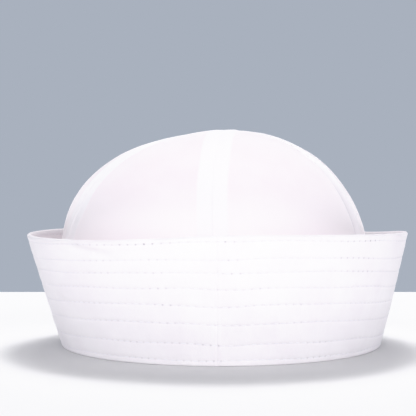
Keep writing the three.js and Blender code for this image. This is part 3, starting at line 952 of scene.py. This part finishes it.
def seam_cotton():
    material = bpy.data.materials.new("seam_cotton")
    nodes = Nodes(material)
    colour, normal = cloth_surface(nodes, *BAND_TONES, bump=0.6)
    away = nodes.maths("ABSOLUTE", nodes.attribute("across_band"))
    seam = nodes.ramp(away, BAND_GROOVE_WIDTH, 0.0, 0.0, BAND_SEAM_SHOW)
    colour = nodes.mix(seam, colour, BAND_SEAM_COLOUR)
    finish_cloth(nodes, colour, normal, roughness=0.92, sheen=0.15)
    return material


def thread_cotton():
    material = bpy.data.materials.new("thread_cotton")
    nodes = Nodes(material)
    turns = nodes.maths("MULTIPLY", nodes.attribute("along_thread"), 2 * math.pi / TWIST_PITCH)
    twist = nodes.maths("SINE", turns)
    colour = nodes.mix(nodes.noise(nodes.place(), 300.0, 1.0), *THREAD_TONES)
    normal = nodes.add("ShaderNodeBump", Strength=0.3, Distance=TWIST_BUMP, Height=twist).outputs[0]
    finish_cloth(nodes, colour, normal, roughness=0.6, sheen=0.1)
    return material


def floor_white():
    material = bpy.data.materials.new("floor_white")
    nodes = Nodes(material)
    nodes.shader.inputs["Base Color"].default_value = FLOOR_COLOUR
    nodes.shader.inputs["Roughness"].default_value = 0.9
    return material


# The model is built round the base's centre, and moved so that the brim's outline is centred on the origin.
centre_x = 0.0
brim = make_brim()
corners = np.array([vertex.co for vertex in brim.data.vertices])
centre_x = (corners[:, 0].min() + corners[:, 0].max()) / 2
for vertex in brim.data.vertices:
    vertex.co.x -= centre_x

gores = {}
for gore_name, seam, next_seam in zip(GORE_NAMES, SEAM_BEARINGS, SEAM_BEARINGS[1:] + [FULL_TURN]):
    gores[gore_name] = make_gore(gore_name, seam, next_seam)

_, FRONT_RIGHT, BACK_RIGHT, _, BACK_LEFT, FRONT_LEFT = SEAM_BEARINGS
bands = {
    "long": make_long_band(),
    "front_right": make_side_band("front_right", FRONT_RIGHT, BACK_RIGHT),
    "back_right": make_side_band("back_right", BACK_RIGHT, FRONT_RIGHT),
    "back_left": make_side_band("back_left", BACK_LEFT, FRONT_LEFT),
    "front_left": make_side_band("front_left", FRONT_LEFT, BACK_LEFT),
}
outer_stitches = make_row_stitches("brim_stitches_outer", pinch_depth, 1)
inner_stitches = make_row_stitches("brim_stitches_inner", inner_face_depth, -1)


def dress(piece, material, slot, *nodes):
    """Gives a piece its material and its place in the part."""
    piece.data.materials.clear()
    piece.data.materials.append(material)
    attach(piece, "root")
    if nodes:
        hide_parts(*nodes)


crown_material, seam_material = crown_cotton(), seam_cotton()
brim_material, thread_material = brim_cotton(), thread_cotton()
for gore_name, gore in gores.items():
    dress(gore, crown_material, "crown_cotton", f"crown_gore_{gore_name}")
for band_name, band in bands.items():
    dress(band, seam_material, "seam_cotton", f"crown_seam_band_{band_name}")
dress(brim, brim_material, "brim_cotton", "brim")
dress(outer_stitches, thread_material, "brim_cotton")
dress(inner_stitches, thread_material, "brim_cotton")


# Floor, lights and camera

FLOOR_HALF_WIDTH = 3.0
FLOOR_FRONT = -3.0
FLOOR_BACK = 0.364
WALL_COLOUR = rgb(169, 177, 190)
CEILING_COLOUR = rgb(156, 154, 159)
WALL_END = 0.3  # of the way from level to straight up
CEILING_START = 0.8
HIGHLIGHT_KNEE = 0.9
HIGHLIGHT_LIMIT = 1.02
HIGHLIGHT_END = 4.0
HIGHLIGHT_STEPS = [0.0, 0.25, 0.5, 1.0, 1.6, 2.4, 4.0, 6.0]  # the curve's points, in room above the knee
COMBINED_CURVE = 3
CAP_MIDDLE = (0.0, 0.0, 0.06)
BEHIND = (0.05, 0.9, 1.8)
CAMERA_X = 0.0016
CAMERA_DISTANCE = 0.6184
CAMERA_HEIGHT = 0.0798
CAMERA_LENS = 89.5
CAMERA_SHIFT = -0.0293


def make_floor():
    mesh = bpy.data.meshes.new("floor")
    sides = [
        (-FLOOR_HALF_WIDTH, FLOOR_FRONT, 0),
        (FLOOR_HALF_WIDTH, FLOOR_FRONT, 0),
        (FLOOR_HALF_WIDTH, FLOOR_BACK, 0),
        (-FLOOR_HALF_WIDTH, FLOOR_BACK, 0),
    ]
    mesh.from_pydata(sides, [], [(0, 1, 2, 3)])
    mesh.materials.append(floor_white())
    floor = bpy.data.objects.new("floor", mesh)
    bpy.context.scene.collection.objects.link(floor)
    return floor


def make_light(name, place, size, watts, colour):
    """A soft lamp that points at the cap and isn't seen itself."""
    light = bpy.data.lights.new(name, "AREA")
    light.shape = "RECTANGLE"
    light.size, light.size_y = size
    light.energy = watts
    light.color = colour
    lamp = bpy.data.objects.new(name, light)
    lamp.location = place
    lamp.rotation_euler = (Vector(CAP_MIDDLE) - Vector(place)).to_track_quat("-Z", "Y").to_euler()
    lamp.visible_camera = False
    bpy.context.scene.collection.objects.link(lamp)
    return lamp


def make_world():
    """A pale studio wall all round, darker overhead, so that its light comes from the sides."""
    world = bpy.data.worlds.new("studio")
    bpy.context.scene.world = world
    world.use_nodes = True
    tree = world.node_tree
    background = next(n for n in tree.nodes if n.type == "BACKGROUND")
    direction = tree.nodes.new("ShaderNodeTexCoord")
    parts = tree.nodes.new("ShaderNodeSeparateXYZ")
    ramp = tree.nodes.new("ShaderNodeValToRGB")
    ramp.color_ramp.elements[0].position = WALL_END
    ramp.color_ramp.elements[0].color = WALL_COLOUR
    ramp.color_ramp.elements[1].position = CEILING_START
    ramp.color_ramp.elements[1].color = CEILING_COLOUR
    tree.links.new(direction.outputs["Generated"], parts.inputs[0])
    tree.links.new(parts.outputs[2], ramp.inputs[0])
    tree.links.new(ramp.outputs[0], background.inputs["Color"])


def soften_highlights(view):
    """A tone curve for white cloth: straight up to a knee, then ever flatter towards full white."""
    view.use_curve_mapping = True
    mapping = view.curve_mapping
    mapping.use_clip = False
    mapping.clip_max_x = HIGHLIGHT_END
    curve = mapping.curves[COMBINED_CURVE]
    curve.points[0].location = (0.0, 0.0)
    curve.points[-1].location = (HIGHLIGHT_END, 1.0)
    room = HIGHLIGHT_LIMIT - HIGHLIGHT_KNEE
    for x in HIGHLIGHT_KNEE + room * np.array(HIGHLIGHT_STEPS):
        height = min(1.0, HIGHLIGHT_KNEE + room * (1 - math.exp(-(x - HIGHLIGHT_KNEE) / room)))
        point = curve.points.new(x, height)
        point.handle_type = "AUTO_CLAMPED"
    for point in list(curve.points)[:2]:
        point.handle_type = "VECTOR"
    mapping.update()


floor = make_floor()
make_world()
make_light("front", place=(-0.1, -1.74, 0.36), size=(2.0, 0.4), watts=14.5, colour=(1.0, 0.99, 0.985))
make_light("left", place=(-1.1, -0.75, 1.35), size=(0.8, 0.6), watts=3.3, colour=(0.99, 0.98, 0.99))
make_light("right", place=(1.45, -0.9, 0.9), size=(0.8, 0.6), watts=4.9, colour=(1.0, 0.98, 0.99))
make_light("back", place=BEHIND, size=(0.35, 0.35), watts=18.0, colour=(1.0, 0.99, 0.99))

# A lamp for the floor alone makes it white where the cap casts no shadow on it.
floor_lamp = make_light("floor_lamp", place=BEHIND, size=(1.0, 1.0), watts=20.0, colour=(1.0, 1.0, 1.0))
lit_by_floor_lamp = bpy.data.collections.new("lit_by_floor_lamp")
lit_by_floor_lamp.objects.link(floor)
floor_lamp.light_linking.receiver_collection = lit_by_floor_lamp
camera = bpy.data.cameras.new("camera")
camera.lens = CAMERA_LENS
camera.shift_x = CAMERA_SHIFT
camera_object = bpy.data.objects.new("camera", camera)
camera_object.location = (CAMERA_X, -CAMERA_DISTANCE, CAMERA_HEIGHT)
camera_object.rotation_euler = (math.pi / 2, 0, 0)
bpy.context.scene.collection.objects.link(camera_object)
bpy.context.scene.camera = camera_object
bpy.context.scene.view_settings.view_transform = "Standard"
soften_highlights(bpy.context.scene.view_settings)
